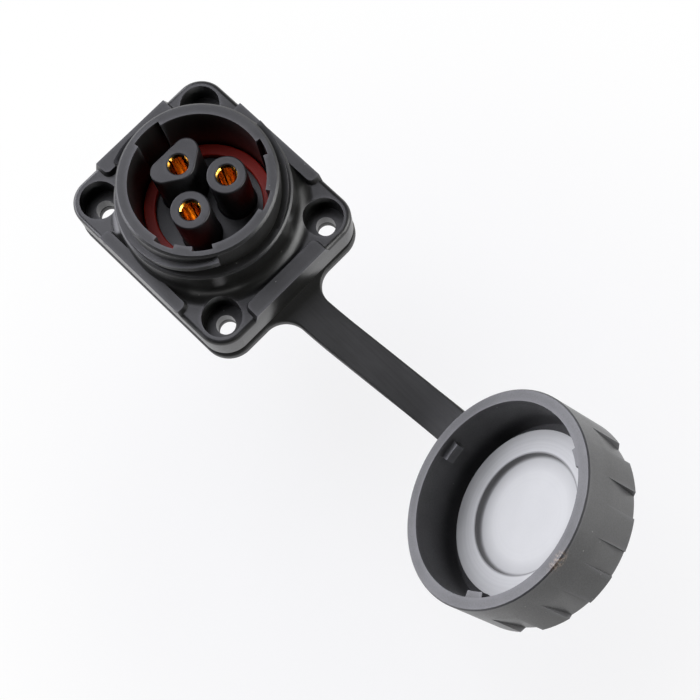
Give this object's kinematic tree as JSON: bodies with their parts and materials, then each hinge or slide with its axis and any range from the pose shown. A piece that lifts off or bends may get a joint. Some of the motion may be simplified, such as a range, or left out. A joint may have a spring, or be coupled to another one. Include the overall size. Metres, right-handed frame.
{
  "type": "flange mount socket",
  "caption": "Panel socket with a rectangular flange, keyed bayonet barrel, tower contacts and a dust cap on a rubber strap.",
  "frame": {"origin": "on the socket axis in the panel plane, at the middle of the four flange holes", "axes": "+Z along the socket axis out of the panel, +X along the strap towards the cap"},
  "size_m": [0.103, 0.0359, 0.0465],
  "materials": {
    "housing_plastic": "fine moulded matte",
    "insert_plastic": "moulded satin",
    "contact_plating": "gold plated, bright",
    "red_silicone": "soft matte",
    "black_rubber": "moulded matte rubber",
    "rivet_metal": "pressed, satin",
    "cap_plastic": "moulded satin",
    "grey_silicone": "soft matte"
  },
  "bodies": {
    "socket": {"housing": "housing_plastic", "contact_insert": "insert_plastic", "contact_a": "contact_plating", "contact_b": "contact_plating", "contact_c": "contact_plating", "interface_seal": "red_silicone", "contact_retainer": "housing_plastic", "gasket_strap": "black_rubber"},
    "tether_end": {"strap_rivet": "rivet_metal", "rivet_washer": "rivet_metal"},
    "cap": {"cap_shell": "cap_plastic", "cap_seal": "grey_silicone"}
  },
  "joints": [
    {"name": "strap_flex", "type": "hinge", "parent": "socket", "child": "tether_end", "pos_m": [0.03275, 0.00069, 0.0009], "axis": [0.0767, -0.9971, 0], "range_deg": [-75, 92], "stiffness_Nm_per_rad": 0.05, "deforming": ["gasket_strap"]},
    {"name": "cap_spin", "type": "hinge", "parent": "tether_end", "child": "cap", "pos_m": [0.07289, -0.00106, 0.01551], "axis": [-0.6156, -0.2904, 0.7326], "continuous": true}
  ]
}
